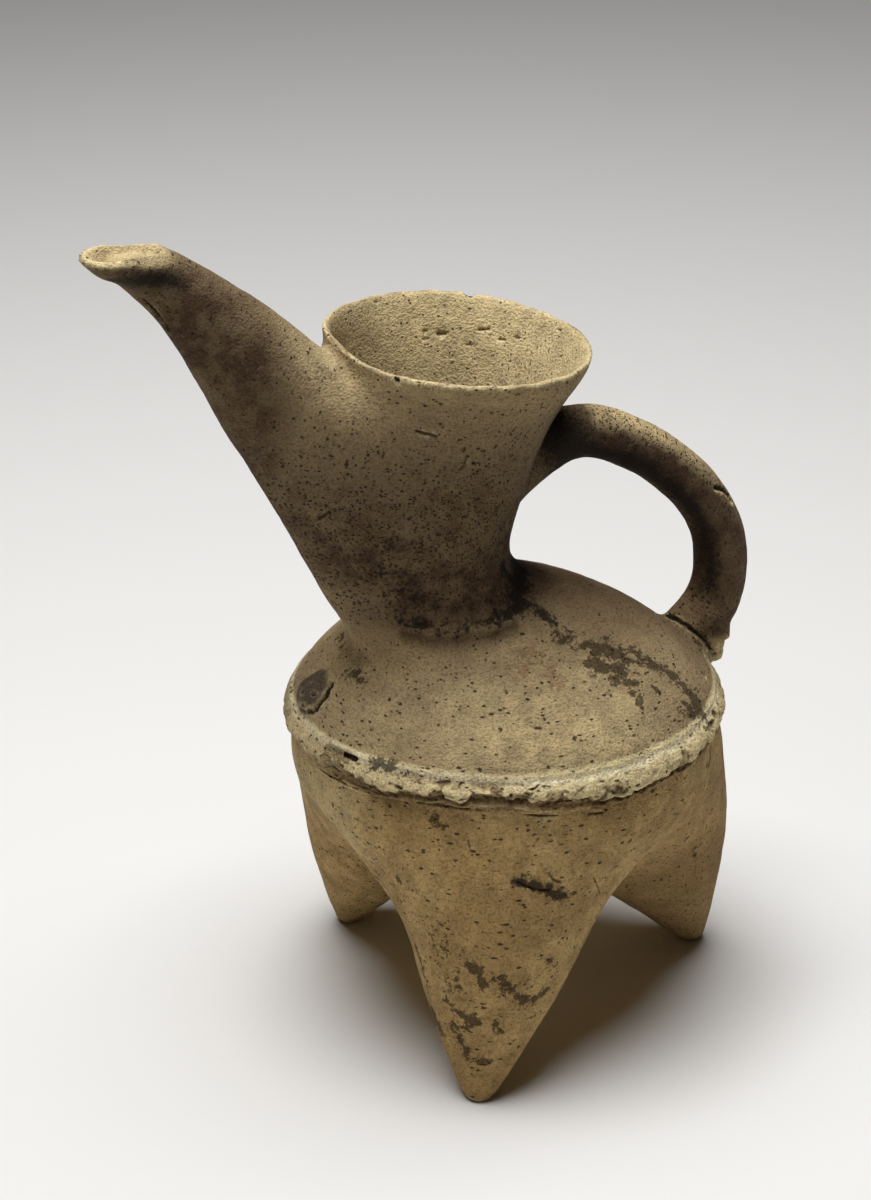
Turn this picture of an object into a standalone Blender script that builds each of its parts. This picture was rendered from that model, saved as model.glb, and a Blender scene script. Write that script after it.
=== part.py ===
"""Pottery tripod pitcher: one fired vessel on three hollow bag legs.

A domed body carries an off-centre flared neck, whose front runs up into a long beak-like spout. A rough
band is luted round the widest part, a rolled loop handle stands behind the neck and a small clay pellet
sits on the shoulder under the spout. The outside and the inside are two skins of the same plan, joined at
the lips of the mouth and the spout, so the walls have their true thickness and the vessel is empty.

Metres, +Z up. The pitcher stands on its feet at Z = 0 and pours towards -X, and the handle and the rear leg
lie on +X. Rings are given in millimetres from the body's axis and are brought to the frame at the end.
"""

import math
import random

import bmesh
import bpy
from mathutils import Matrix, Vector

MM = 0.001

# The body's axis stands behind the middle of the whole length, because the spout reaches further, and a
# little to the far side, because the near foot stands out.
BODY_X = 22.4
BODY_Y = 1.0

# Driving sizes, in millimetres
BAND_RADIUS = 73.0
BAND_HEIGHT = 109.3
BAND_TALL = 7.5
BAND_PROUD = 3.0
DOME_TOP = 155.0
DOME_RIM = 112.5
WALL = 4.5
NECK_WALL = 4.0
LIP = 3.3
SPOUT_WALL = 3.3
SPOUT_LIP = 2.2
FOOT_RADIUS = 71.0
FOOT_HALF = 4.4
SOLID_FOOT = 15.0
HANDLE_RADIUS = 9.3
PELLET_RADIUS = 7.0
PELLET_THICK = 3.4
PELLET_PLACE = (-65.0, 4.0)

# The cage has 24 columns, column 0 on the rear leg: 8 for each leg, and the middle 8 of the front half
# run into the spout.
COLUMNS = 24
LEG_COLUMNS = COLUMNS // 3
LEG_STEPS = LEG_COLUMNS // 2
SPOUT_START = COLUMNS // 3

# Lower body, top to bottom: (radius, height) on a leg's line, then in the valley between two legs
LOBED_RINGS = [
    ((71.0, 101.5), (70.5, 102.0)),
    ((76.5, 88.0), (70.5, 91.0)),
    ((80.0, 70.0), (65.0, 79.0)),
]
# A power under 1 makes the valleys broader than the swellings
VALLEY_BREADTH = 0.65
# The valley runs on inwards under the belly: (radius, height)
VALLEY_PATH = [(53.0, 67.0), (36.0, 57.0), (18.0, 51.0)]
BELLY_HEIGHT = 49.0
# A leg's sections, top to bottom: outermost and innermost (radius, height), then half width
LEG_SECTIONS = [
    ((81.0, 60.0), (11.0, 45.0), 29.5),
    ((80.8, 42.0), (25.0, 36.0), 26.5),
    ((79.0, 25.0), (40.5, 24.0), 18.5),
    ((77.0, 9.0), (57.0, 9.0), 9.8),
]
# The front legs stand a little out of true: how far each top leans sideways, and each foot stands out
LEG_LEANS = (0.0, 0.0, 4.5)
FOOT_SHIFTS = (0.0, -2.0, 3.0)

# Neck sections, bottom to top: back (x, height), front (x, height), half width, x of the widest place
# and how much the front is drawn to a point
NECK_BASE = (-21.5, 2.5)
NECK_BASE_RADIUS = 27.0
NECK_SECTIONS = [
    ((-1.0, 164.0), (-59.0, 151.5), 24.5, -25.0, 0.10),
    ((4.6, 181.0), (-68.5, 171.5), 26.5, -22.0, 0.25),
    ((9.5, 198.0), (-79.5, 194.0), 29.7, -20.0, 0.40),
    ((18.5, 216.0), (-90.5, 213.0), 35.5, -17.0, 0.50),
]
MOUTH_CENTRE = (-14.5, 2.0)
MOUTH_RADIUS = 44.5
MOUTH_HEIGHT = 237.0
MOUTH_RISE = 0.10
MOUTH_LEAN = 0.04
# The mouth has fewer columns than the body: its sides take the neck's, and four cross behind the spout.
MOUTH_COLUMNS = 2 * SPOUT_START + 4
# Turn from the handle's side of the mouth to either end of its sides, in degrees
MOUTH_SIDES = 142.0
FLARE = 3.0
FLARE_DEEP = 7.0
PINCH = (-58.5, -0.5, 239.0)
PINCH_SIDE = (-57.5, 13.0, 232.5)
# At the front the three lip points are drawn in to the pinch, and the wall below them is low
PINCH_DRAWN = (0.98, 0.95, 0.98)
PINCH_LOW = (0.6, 0.3, 0.6)

# Spout sections, root to lip: top (x, height), bottom (x, height), half width, fullness of the lower half
SPOUT_SECTIONS = [
    ((-71.0, 251.5), (-97.5, 229.0), 14.5, 0.20),
    ((-83.0, 261.0), (-105.5, 246.5), 12.0, 0.15),
    ((-94.0, 270.0), (-114.0, 259.5), 9.2, 0.10),
    ((-103.0, 276.5), (-125.0, 271.0), 7.8, 0.0),
    ((-109.0, 280.0), (-136.0, 280.5), 7.5, 0.0),
]

# The handle's middle line, neck to shoulder: (x, height, thickness against the driving radius)
HANDLE_LINE = [
    (-8.0, 181.0, 1.3),
    (10.0, 193.0, 1.15),
    (28.0, 197.5, 1.0),
    (46.0, 190.5, 0.95),
    (63.0, 177.5, 0.92),
    (76.0, 161.0, 0.95),
    (80.5, 144.0, 1.0),
    (78.5, 130.0, 1.03),
    (70.0, 117.5, 1.15),
    (56.0, 106.0, 1.2),
]

BUFF_CLAY = (0.47, 0.39, 0.28, 1.0)


def clear_scene():
    for item in list(bpy.data.objects):
        bpy.data.objects.remove(item, do_unlink=True)


def fullness(count):
    """How far a ring of the cage stands outside the round ring that the subdivision draws from it."""
    return 3.0 / (2.0 + math.cos(math.tau / count))


def dome_height(radius, wall):
    """Height of the domed shoulder at a distance from the body's axis."""
    reach = BAND_RADIUS - 1.0 - wall
    share = min(radius / reach, 1.0)
    return DOME_RIM + (DOME_TOP - DOME_RIM - wall) * (1.0 - share**1.5) ** 0.82


def around(radius, angle, height):
    return Vector((radius * math.cos(angle), radius * math.sin(angle), height))


def body_ring(radius, height):
    size = radius * fullness(COLUMNS)
    return [around(size, math.tau * column / COLUMNS, height) for column in range(COLUMNS)]


def lobed_ring(leg, valley, wall):
    """A ring that swells over each leg and draws in between them."""
    points = []
    for column in range(COLUMNS):
        angle = math.tau * column / COLUMNS
        share = ((1.0 - math.cos(3.0 * angle)) / 2.0) ** VALLEY_BREADTH
        radius = leg[0] + (valley[0] - leg[0]) * share - wall
        height = leg[1] + (valley[1] - leg[1]) * share + wall * share * 0.6
        points.append(around(radius * fullness(COLUMNS), angle, height))
    return points


def leg_ring(leg, section, wall):
    """A section of one leg: an oval that is longest along the leg's own line and may dip inwards."""
    outermost, innermost, half_width = section
    azimuth = math.tau * leg / 3
    count = 2 * LEG_COLUMNS
    rise = outermost[1] / LEG_SECTIONS[0][0][1]
    middle = (outermost[0] + innermost[0]) / 2.0 + FOOT_SHIFTS[leg] * (1.0 - rise)
    reach = ((outermost[0] - innermost[0]) / 2.0 - wall) * fullness(count)
    across = (half_width - wall) * fullness(count)
    points = []
    for step in range(count):
        turn = math.tau * step / count
        out = middle + reach * math.cos(turn)
        side = across * math.sin(turn) + LEG_LEANS[leg] * rise
        height = innermost[1] + (outermost[1] - innermost[1]) * (1.0 + math.cos(turn)) / 2.0
        point = Vector((out, side, height))
        point.rotate(Matrix.Rotation(azimuth, 3, "Z"))
        points.append(point)
    return points


def shoulder_ring(share, wall):
    """A ring on the dome, from round the whole body at 0 to round the foot of the neck at 1."""
    body = BAND_RADIUS - BAND_PROUD - wall
    base = NECK_BASE_RADIUS - wall
    radius = (body + (base - body) * share) * fullness(COLUMNS)
    points = []
    for column in range(COLUMNS):
        point = around(radius, math.tau * column / COLUMNS, 0.0)
        point += Vector((NECK_BASE[0], NECK_BASE[1], 0.0)) * share
        point.z = dome_height(point.xy.length / fullness(COLUMNS), wall)
        points.append(point)
    return points


def neck_ring(section, wall):
    back, front, half_width, widest, pointed = section
    scale = fullness(COLUMNS)
    points = []
    for column in range(COLUMNS):
        angle = math.tau * column / COLUMNS
        out = math.cos(angle) * scale
        if out > 0.0:
            x = widest + (back[0] - wall - widest) * out
            draw = 1.0
        else:
            x = widest + (widest - front[0] - wall) * out
            draw = 1.0 - pointed * out * out
        y = NECK_BASE[1] + (half_width - wall) * math.sin(angle) * draw * scale
        share = (x - front[0]) / (back[0] - front[0])
        points.append(Vector((x, y, front[1] + (back[1] - front[1]) * share)))
    return points


def mouth_angle(place):
    """The turn round the mouth of one of its 20 columns: the last four cross the front, behind the spout."""
    sides = 2 * SPOUT_START
    wide = math.radians(MOUTH_SIDES)
    if place <= sides:
        return -wide + 2.0 * wide * place / sides
    return wide + (math.tau - 2.0 * wide) * (place - sides) / (MOUTH_COLUMNS - sides)


def mouth_ring(radius, drop):
    """A ring of the mouth's flare, at a distance below the tilted plane of its lip."""
    points = []
    for place in range(MOUTH_COLUMNS):
        angle = mouth_angle(place)
        size = radius * fullness(MOUTH_COLUMNS)
        low = drop
        if place > 2 * SPOUT_START:
            size *= PINCH_DRAWN[place - 2 * SPOUT_START - 1]
            low *= PINCH_LOW[place - 2 * SPOUT_START - 1]
        x = size * math.cos(angle)
        y = size * math.sin(angle)
        height = MOUTH_HEIGHT - MOUTH_RISE * x + MOUTH_LEAN * y - low
        points.append(Vector((MOUTH_CENTRE[0] + x, MOUTH_CENTRE[1] + y, height)))
    return points


def spout_ring(section, wall):
    """Twelve points from the underside round the near and far flanks to the ridge on top."""
    top, bottom, half_width, low = section
    top = Vector((top[0], NECK_BASE[1], top[1]))
    bottom = Vector((bottom[0], NECK_BASE[1], bottom[1]))
    half = (top - bottom) / 2.0
    middle = (top + bottom) / 2.0
    half = half.normalized() * (half.length - wall) * fullness(12)
    points = []
    for step in range(12):
        turn = math.tau * step / 12
        across = (half_width - wall) * math.sin(turn) * (1.0 + low * math.cos(turn))
        points.append(middle - half * math.cos(turn) + Vector((0.0, -across * fullness(12), 0.0)))
    return points


def add_ring(mesh, points):
    return [mesh.verts.new(point) for point in points]


def loft(mesh, first, second):
    """A band of quads between two rings of equal count."""
    count = len(first)
    for here in range(count):
        after = (here + 1) % count
        mesh.faces.new((first[here], first[after], second[after], second[here]))


def loft_all(mesh, rings):
    for first, second in zip(rings, rings[1:]):
        loft(mesh, first, second)


def build_legs(mesh, lobed, sections, sole, wall):
    """The valleys under the belly, and the three legs that hang from them. Returns the legs' lowest faces."""
    paths = []
    soles = []
    for leg in range(3):
        angle = math.tau * (leg + 0.5) / 3
        path = [around(radius - 0.5 * wall, angle, height + 0.8 * wall) for radius, height in VALLEY_PATH]
        paths.append(add_ring(mesh, path))
    belly = mesh.verts.new((0.0, 0.0, BELLY_HEIGHT + wall))
    for leg in range(3):
        start = leg * LEG_COLUMNS
        loop = [lobed[start + step] for step in range(LEG_STEPS + 1)]
        loop += paths[leg] + [belly] + paths[leg - 1][::-1]
        loop += [lobed[(start - step) % COLUMNS] for step in range(LEG_STEPS, 0, -1)]
        rings = [loop]
        for section in sections:
            rings.append(add_ring(mesh, leg_ring(leg, section, wall)))
        rings.append(add_ring(mesh, leg_ring(leg, sole, 0.0)))
        loft_all(mesh, rings)
        soles.append(mesh.faces.new(rings[-1]))
    return soles


def build_neck(mesh, rings, sections, wall):
    """The neck above the given rings, and the ring of its top where it parts into mouth and spout."""
    for section in sections:
        rings.append(add_ring(mesh, neck_ring(section, wall)))
    loft_all(mesh, rings)
    return rings[-1]


def build_openings(mesh, split, mouth, spout, wall):
    """The mouth and the spout, which part at the pinch. Returns their two open rings."""
    pinch = mesh.verts.new((PINCH[0] + 0.4 * wall, PINCH[1], PINCH[2] - 1.4 * wall))
    sides = []
    for side in (-1.0, 1.0):
        place = (PINCH_SIDE[0] + 0.3 * wall, side * (PINCH_SIDE[1] - wall), PINCH_SIDE[2] - 0.6 * wall)
        sides.append(mesh.verts.new(place))
    near, far = sides
    front = COLUMNS // 2
    reach = front - SPOUT_START
    funnel = [split[step % COLUMNS] for step in range(-SPOUT_START, SPOUT_START + 1)] + [far, pinch, near]
    beak = [split[front + step] for step in range(reach + 1)] + [near, pinch, far]
    beak += [split[SPOUT_START + step] for step in range(reach)]
    mouth_rings = [funnel]
    for radius, drop in mouth:
        mouth_rings.append(add_ring(mesh, mouth_ring(radius, drop)))
    loft_all(mesh, mouth_rings)
    spout_rings = [beak]
    for section, thick in spout:
        spout_rings.append(add_ring(mesh, spout_ring(section, thick)))
    loft_all(mesh, spout_rings)
    return mouth_rings[-1], spout_rings[-1]


def band_profile():
    """The band's edges, bottom to top: how far each stands out, and its height."""
    low = BAND_HEIGHT - BAND_TALL / 2.0
    high = BAND_HEIGHT + BAND_TALL / 2.0
    inner = BAND_RADIUS - BAND_PROUD
    outer = BAND_RADIUS + 0.8
    return [(inner, low - 1.0), (outer, low + 0.8), (outer, high - 0.8), (inner - 1.0, high + 0.6)]


def crumbled(points, chips, amount):
    """Each point drawn in or shifted a little, as on a strip of clay that was pinched on and has chipped."""
    for point in points:
        flat = Vector((point.x, point.y, 0.0)).normalized()
        point -= flat * chips.uniform(0.0, amount)
        point.z += chips.uniform(-0.5, 0.5) * amount
    return points


def outer_skin(mesh):
    chips = random.Random(7)
    band = []
    for place, (radius, height) in enumerate(band_profile()):
        points = body_ring(radius, height)
        if place in (1, 2):
            points = crumbled(points, chips, 1.6)
        band.append(add_ring(mesh, points))
    lobed = [add_ring(mesh, lobed_ring(leg, valley, 0.0)) for leg, valley in LOBED_RINGS]
    loft_all(mesh, lobed[::-1] + band)
    sole = ((FOOT_RADIUS + FOOT_HALF, 0.0), (FOOT_RADIUS - FOOT_HALF, 0.0), FOOT_HALF)
    soles = build_legs(mesh, lobed[-1], LEG_SECTIONS, sole, 0.0)
    crease = mesh.edges.layers.float.new("crease_edge")
    for face in soles:
        for edge in face.edges:
            edge[crease] = 1.0
    shoulder = [add_ring(mesh, shoulder_ring(share, 0.0)) for share in (0.12, 0.45, 0.8, 1.0)]
    split = build_neck(mesh, [band[-1]] + shoulder, NECK_SECTIONS, 0.0)
    mouth = [(MOUTH_RADIUS - FLARE, FLARE_DEEP), (MOUTH_RADIUS, 0.0)]
    spout = [(section, 0.0) for section in SPOUT_SECTIONS]
    return build_openings(mesh, split, mouth, spout, 0.0)


def inner_skin(mesh, depth):
    """The skin inside the clay: at depth 1 the inner wall, and at less a surface within the wall."""
    wall = depth * WALL
    lobed = [add_ring(mesh, lobed_ring(leg, valley, wall)) for leg, valley in LOBED_RINGS[1:]]
    toe = ((FOOT_RADIUS, SOLID_FOOT), (FOOT_RADIUS - 10.0, SOLID_FOOT), 5.0)
    build_legs(mesh, lobed[-1], LEG_SECTIONS[0:3:2], toe, wall)
    shoulder = [add_ring(mesh, shoulder_ring(share, wall)) for share in (0.0, 0.45, 1.0)]
    loft_all(mesh, lobed[::-1] + shoulder[:1])
    neck_wall = depth * NECK_WALL
    split = build_neck(mesh, shoulder, NECK_SECTIONS[:2] + NECK_SECTIONS[3:], neck_wall)
    lip = MOUTH_RADIUS - depth * LIP
    mouth = [(lip - FLARE, FLARE_DEEP), (lip, 0.0)]
    walls = (SPOUT_WALL, 0.8 * SPOUT_WALL, SPOUT_LIP, SPOUT_LIP)
    sections = SPOUT_SECTIONS[:1] + SPOUT_SECTIONS[2:]
    spout = [(section, depth * thick) for section, thick in zip(sections, walls)]
    return build_openings(mesh, split, mouth, spout, neck_wall)


def finished(mesh, name, collection):
    """An object in the frame from a mesh in millimetres about the body's axis."""
    bmesh.ops.recalc_face_normals(mesh, faces=mesh.faces)
    bmesh.ops.scale(mesh, vec=(MM, MM, MM), verts=mesh.verts)
    data = bpy.data.meshes.new(name)
    mesh.to_mesh(data)
    mesh.free()
    item = bpy.data.objects.new(name, data)
    item.location = (BODY_X * MM, BODY_Y * MM, 0.0)
    collection.objects.link(item)
    return item


def soften(item):
    smooth = item.modifiers.new("soft clay", "SUBSURF")
    smooth.levels = 1
    smooth.render_levels = 1


def join(item, cutter, operation):
    """A Boolean against a helper, which stays out of the render."""
    cut = item.modifiers.new(operation.lower() + " " + cutter.name, "BOOLEAN")
    cut.operation = operation
    cut.solver = "EXACT"
    cut.object = cutter
    cutter.hide_render = True
    cutter.display_type = "WIRE"


def make_shell(collection):
    """The hollow body with its legs, neck, spout and band."""
    mesh = bmesh.new()
    outside = outer_skin(mesh)
    inside = inner_skin(mesh, 1.0)
    for outer, inner in zip(outside, inside):
        loft(mesh, outer, inner)
    shell = finished(mesh, "pitcher", collection)
    soften(shell)
    return shell


def make_core(collection):
    """A closed form that ends within the clay wall, to trim what is luted on where it would reach inside."""
    mesh = bmesh.new()
    for opening in inner_skin(mesh, 0.5):
        mesh.faces.new(opening)
    core = finished(mesh, "core", collection)
    soften(core)
    return core


def make_handle(collection):
    """A rolled strap of clay, thickest where its two roots are smoothed on."""
    line = bpy.data.curves.new("handle", "CURVE")
    line.dimensions = "3D"
    line.bevel_depth = HANDLE_RADIUS * MM
    line.bevel_resolution = 5
    line.resolution_u = 3
    line.use_fill_caps = True
    strip = line.splines.new("BEZIER")
    strip.bezier_points.add(len(HANDLE_LINE) - 1)
    for point, (x, height, thick) in zip(strip.bezier_points, HANDLE_LINE):
        point.co = ((x + BODY_X) * MM, (NECK_BASE[1] + BODY_Y) * MM, height * MM)
        point.radius = thick
        point.handle_left_type = "AUTO"
        point.handle_right_type = "AUTO"
    curve = bpy.data.objects.new("handle_line", line)
    collection.objects.link(curve)
    bpy.context.view_layer.update()
    data = bpy.data.meshes.new_from_object(curve.evaluated_get(bpy.context.evaluated_depsgraph_get()))
    mesh = bmesh.new()
    mesh.from_mesh(data)
    bmesh.ops.remove_doubles(mesh, verts=mesh.verts, dist=0.00001)
    bmesh.ops.recalc_face_normals(mesh, faces=mesh.faces)
    mesh.to_mesh(data)
    mesh.free()
    handle = bpy.data.objects.new("handle", data)
    handle.matrix_world = curve.matrix_world
    collection.objects.link(handle)
    bpy.data.objects.remove(curve)
    return handle


def make_pellet(collection):
    """A flattened ball of clay pressed on the shoulder under the spout, one edge still standing up."""
    mesh = bmesh.new()
    bmesh.ops.create_uvsphere(mesh, u_segments=14, v_segments=8, radius=1.0)
    bmesh.ops.scale(mesh, vec=(PELLET_RADIUS, PELLET_RADIUS * 1.1, PELLET_THICK), verts=mesh.verts)
    bmesh.ops.rotate(mesh, matrix=Matrix.Rotation(math.radians(-36.0), 3, "Y"), verts=mesh.verts)
    bmesh.ops.rotate(mesh, matrix=Matrix.Rotation(math.radians(10.0), 3, "X"), verts=mesh.verts)
    height = dome_height(math.hypot(*PELLET_PLACE), 0.0)
    bmesh.ops.translate(mesh, vec=(PELLET_PLACE[0], PELLET_PLACE[1], height), verts=mesh.verts)
    return finished(mesh, "pellet", collection)


def clay(name):
    material = bpy.data.materials.new(name)
    material.use_nodes = True
    shader = material.node_tree.nodes["Principled BSDF"]
    shader.inputs["Base Color"].default_value = BUFF_CLAY
    shader.inputs["Roughness"].default_value = 0.92
    shader.inputs["Metallic"].default_value = 0.0
    return material


def main():
    clear_scene()
    pitcher = bpy.data.collections.new("tripod_pitcher")
    helpers = bpy.data.collections.new("luted_pieces")
    for collection in (pitcher, helpers):
        bpy.context.scene.collection.children.link(collection)
    shell = make_shell(pitcher)
    core = make_core(helpers)
    handle = make_handle(helpers)
    pellet = make_pellet(helpers)
    join(handle, core, "DIFFERENCE")
    join(shell, handle, "UNION")
    join(shell, pellet, "UNION")
    shell.data.materials.append(clay("buff_clay"))
    shell.data.shade_smooth()


main()
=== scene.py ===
import math

import bmesh
import bpy
import numpy as np
from mathutils import Matrix, Vector


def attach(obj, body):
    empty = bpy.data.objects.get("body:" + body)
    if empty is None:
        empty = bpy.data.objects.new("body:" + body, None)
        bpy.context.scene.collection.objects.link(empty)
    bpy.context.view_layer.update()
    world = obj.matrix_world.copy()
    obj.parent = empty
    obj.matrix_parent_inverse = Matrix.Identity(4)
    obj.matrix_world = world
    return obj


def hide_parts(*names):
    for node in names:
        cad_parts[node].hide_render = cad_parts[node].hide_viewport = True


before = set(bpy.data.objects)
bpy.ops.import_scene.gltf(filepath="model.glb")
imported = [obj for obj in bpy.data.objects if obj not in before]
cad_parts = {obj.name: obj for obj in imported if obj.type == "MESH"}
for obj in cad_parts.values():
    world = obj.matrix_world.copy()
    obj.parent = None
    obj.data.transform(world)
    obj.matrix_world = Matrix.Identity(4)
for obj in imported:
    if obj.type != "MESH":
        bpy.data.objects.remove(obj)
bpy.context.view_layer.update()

mm = 0.001
bodyAxis = np.array((22.4, 1.0, 0.0))  # the vessel's upright axis in the frame, in mm


# camera, floor and lights

shot = {
    "place": (-0.3615, -0.8948, 0.5929),
    "turn": 21.928,  # degrees from +Y towards +X
    "down": 24.769,
    "roll": -0.882,
    "lens": 98.55,
}

studio = {
    "floorColour": "#F0EEE9",
    "target": (0.0, 0.0, 0.12),
    "keyColour": (0.96, 0.97, 1.0),
    "keyPlace": (-0.08, 0.02, 1.4),  # almost straight above
    "keySize": 1.05,
    "keyWatts": 24.3,
    "fillPlace": (0.3, -1.9, 1.1),
    "fillSize": 1.2,
    "fillWatts": 0.3,
    "sidePlace": (-1.5, -0.5, 0.55),
    "sideSize": 0.7,
    "sideWatts": 0.6,
    "skyColour": "#C09464",
    "skyStrength": 0.02,
    "look": "Standard",
}


def setCamera():
    turn = math.radians(shot["turn"])
    down = math.radians(shot["down"])
    roll = math.radians(shot["roll"])
    ahead = Vector((math.sin(turn) * math.cos(down), math.cos(turn) * math.cos(down), -math.sin(down)))
    right = ahead.cross(Vector((0, 0, 1))).normalized()
    up = right.cross(ahead)
    right, up = math.cos(roll) * right + math.sin(roll) * up, math.cos(roll) * up - math.sin(roll) * right
    lens = bpy.data.cameras.new("photoCamera")
    lens.lens = shot["lens"]
    lens.sensor_width = 36
    lens.clip_end = 20
    camera = bpy.data.objects.new("photoCamera", lens)
    axes = Matrix((right, up, -ahead)).transposed().to_4x4()
    camera.matrix_world = Matrix.Translation(shot["place"]) @ axes
    bpy.context.collection.objects.link(camera)
    bpy.context.scene.camera = camera


def linear(hexColour):
    # sRGB hex to the linear colour that the shaders use
    channels = [int(hexColour[i:i + 2], 16) / 255 for i in (1, 3, 5)]
    return [c / 12.92 if c <= 0.04045 else ((c + 0.055) / 1.055) ** 2.4 for c in channels] + [1.0]


def addNode(tree, kind, inputs=None, out=0, **settings):
    # one node with its settings; an input is a value or another node's output, and the given output comes back
    node = tree.nodes.new(kind)
    for name, value in settings.items():
        setattr(node, name, value)
    for name, value in (inputs or {}).items():
        if isinstance(value, bpy.types.NodeSocket):
            tree.links.new(value, node.inputs[name])
        else:
            node.inputs[name].default_value = value
    return node.outputs[out]


def addLamp(name, place, size, watts, colour):
    lamp = bpy.data.lights.new(name, "AREA")
    lamp.shape = "DISK"
    lamp.size = size
    lamp.energy = watts
    lamp.color = colour
    item = bpy.data.objects.new(name, lamp)
    item.location = place
    item.rotation_euler = (Vector(studio["target"]) - Vector(place)).to_track_quat("-Z", "Y").to_euler()
    bpy.context.collection.objects.link(item)


def setStage():
    sheet = bmesh.new()
    bmesh.ops.create_grid(sheet, x_segments=4, y_segments=4, size=5.0)
    data = bpy.data.meshes.new("paleFloor")
    sheet.to_mesh(data)
    sheet.free()
    floor = bpy.data.objects.new("paleFloor", data)
    bpy.context.collection.objects.link(floor)
    paint = bpy.data.materials.new("mattPaleBoard")  # a plain matt board, so only soft shadows show on it
    paint.use_nodes = True
    shader = paint.node_tree.nodes["Principled BSDF"]
    shader.inputs["Base Color"].default_value = linear(studio["floorColour"])
    shader.inputs["Roughness"].default_value = 0.95
    shader.inputs["Specular IOR Level"].default_value = 0.1
    data.materials.append(paint)
    addLamp("keyLight", studio["keyPlace"], studio["keySize"], studio["keyWatts"], studio["keyColour"])
    addLamp("fillLight", studio["fillPlace"], studio["fillSize"], studio["fillWatts"], (1.0, 1.0, 1.0))
    addLamp("sideLight", studio["sidePlace"], studio["sideSize"], studio["sideWatts"], (1.0, 0.93, 0.8))
    sky = bpy.data.worlds.new("studioSky")
    sky.use_nodes = True
    sky.node_tree.nodes["Background"].inputs["Color"].default_value = linear(studio["skyColour"])
    sky.node_tree.nodes["Background"].inputs["Strength"].default_value = studio["skyStrength"]
    bpy.context.scene.world = sky
    bpy.context.scene.view_settings.view_transform = studio["look"]


setCamera()
setStage()
print("camera, floor and lights are set")


# small tools for working the mesh, on all its points at once; places are in mm from the vessel's axis

def cellValue(cells, seed):
    # a settled value from 0 to 1 for each cell of a lattice
    mixed = (cells * np.array([73856093, 19349663, 83492791])).sum(axis=1) + seed * 97531
    mixed = (mixed ^ (mixed >> 13)) * 1274126177 & 0x7FFFFFFF
    mixed = (mixed ^ (mixed >> 11)) * 668265263 & 0x7FFFFFFF
    return (mixed ^ (mixed >> 15)) % 65536 / 65535


def clayNoise(places, grain, seed):
    # smooth noise from -1 to 1 that swells about once in each grain; a grain may differ by direction
    spots = places / np.asarray(grain, float)
    low = np.floor(spots).astype(np.int64)
    share = spots - low
    share = share * share * (3 - 2 * share)
    total = np.zeros(len(places))
    for corner in range(8):
        step = np.array([corner & 1, corner >> 1 & 1, corner >> 2 & 1])
        total += (cellValue(low + step, seed) * 2 - 1) * np.where(step, share, 1 - share).prod(axis=1)
    return total


def smoothStep(low, high, x):
    share = np.clip((x - low) / (high - low), 0, 1)
    return share * share * (3 - 2 * share)


def window(stops, x):
    # rises from 0 to 1 between the first two stops, and falls back between the last two
    low, top, edge, end = stops
    return smoothStep(low, top, x) * smoothStep(end, edge, x)


def addNoise(values, places, noises):
    # each noise has its height, grain and draw
    for height, grain, draw in noises:
        values = values + height * clayNoise(places, grain, draw)
    return values


def along(table, values):
    # reads a table of stops, such as heights by azimuth or strengths by height
    return np.interp(values, list(table), list(table.values()))


def byAzimuth(table, azimuth):
    return np.interp(azimuth, list(table), list(table.values()), period=360)


def polar(places):
    radius = np.hypot(places[:, 0], places[:, 1])
    azimuth = np.degrees(np.arctan2(places[:, 1], places[:, 0])) % 360
    return radius, azimuth


def strokeOffset(places, line):
    # the way to each point from the nearest place on a line of given points
    offset = places - line[0]
    nearest = np.linalg.norm(offset, axis=1)
    for start, end in zip(line[:-1], line[1:]):
        run = end - start
        share = np.clip((places - start) @ run / (run @ run), 0, 1)
        step = places - start - share[:, None] * run
        away = np.linalg.norm(step, axis=1)
        offset = np.where((away < nearest)[:, None], step, offset)
        nearest = np.minimum(nearest, away)
    return offset


def modified(item, kind, **settings):
    # the mesh after one modifier, as a new mesh on the same object
    step = item.modifiers.new(kind.lower(), kind)
    for name, value in settings.items():
        setattr(step, name, value)
    bpy.context.view_layer.update()
    data = bpy.data.meshes.new_from_object(item.evaluated_get(bpy.context.evaluated_depsgraph_get()))
    item.modifiers.clear()
    old = item.data
    item.data = data
    bpy.data.meshes.remove(old)


def readPoints(data):
    flat = np.empty(len(data.vertices) * 3, np.float32)
    data.vertices.foreach_get("co", flat)
    return flat.reshape(-1, 3).astype(float) / mm - bodyAxis


def writePoints(data, places):
    data.vertices.foreach_set("co", ((places + bodyAxis) * mm).astype(np.float32).ravel())
    data.update()


def readNormals(data):
    flat = np.empty(len(data.vertices) * 3, np.float32)
    data.vertex_normals.foreach_get("vector", flat)
    return flat.reshape(-1, 3).astype(float)


def readEdges(data):
    flat = np.empty(len(data.edges) * 2, np.int32)
    data.edges.foreach_get("vertices", flat)
    return flat.reshape(-1, 2)


def countTriangles(data):
    return len(data.loops) - 2 * len(data.polygons)


def neighbourMean(values, edges):
    # the mean of each point's neighbours
    total = np.zeros(len(values))
    count = np.zeros(len(values))
    for one, other in ((0, 1), (1, 0)):
        total += np.bincount(edges[:, one], values[edges[:, other]], len(values))
        count += np.bincount(edges[:, one], None, len(values))
    return total / np.maximum(count, 1)


# the marks of use, burial and handwork, and some painted shadows: kind, half width in mm, strength, and the line that
# each follows

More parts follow.
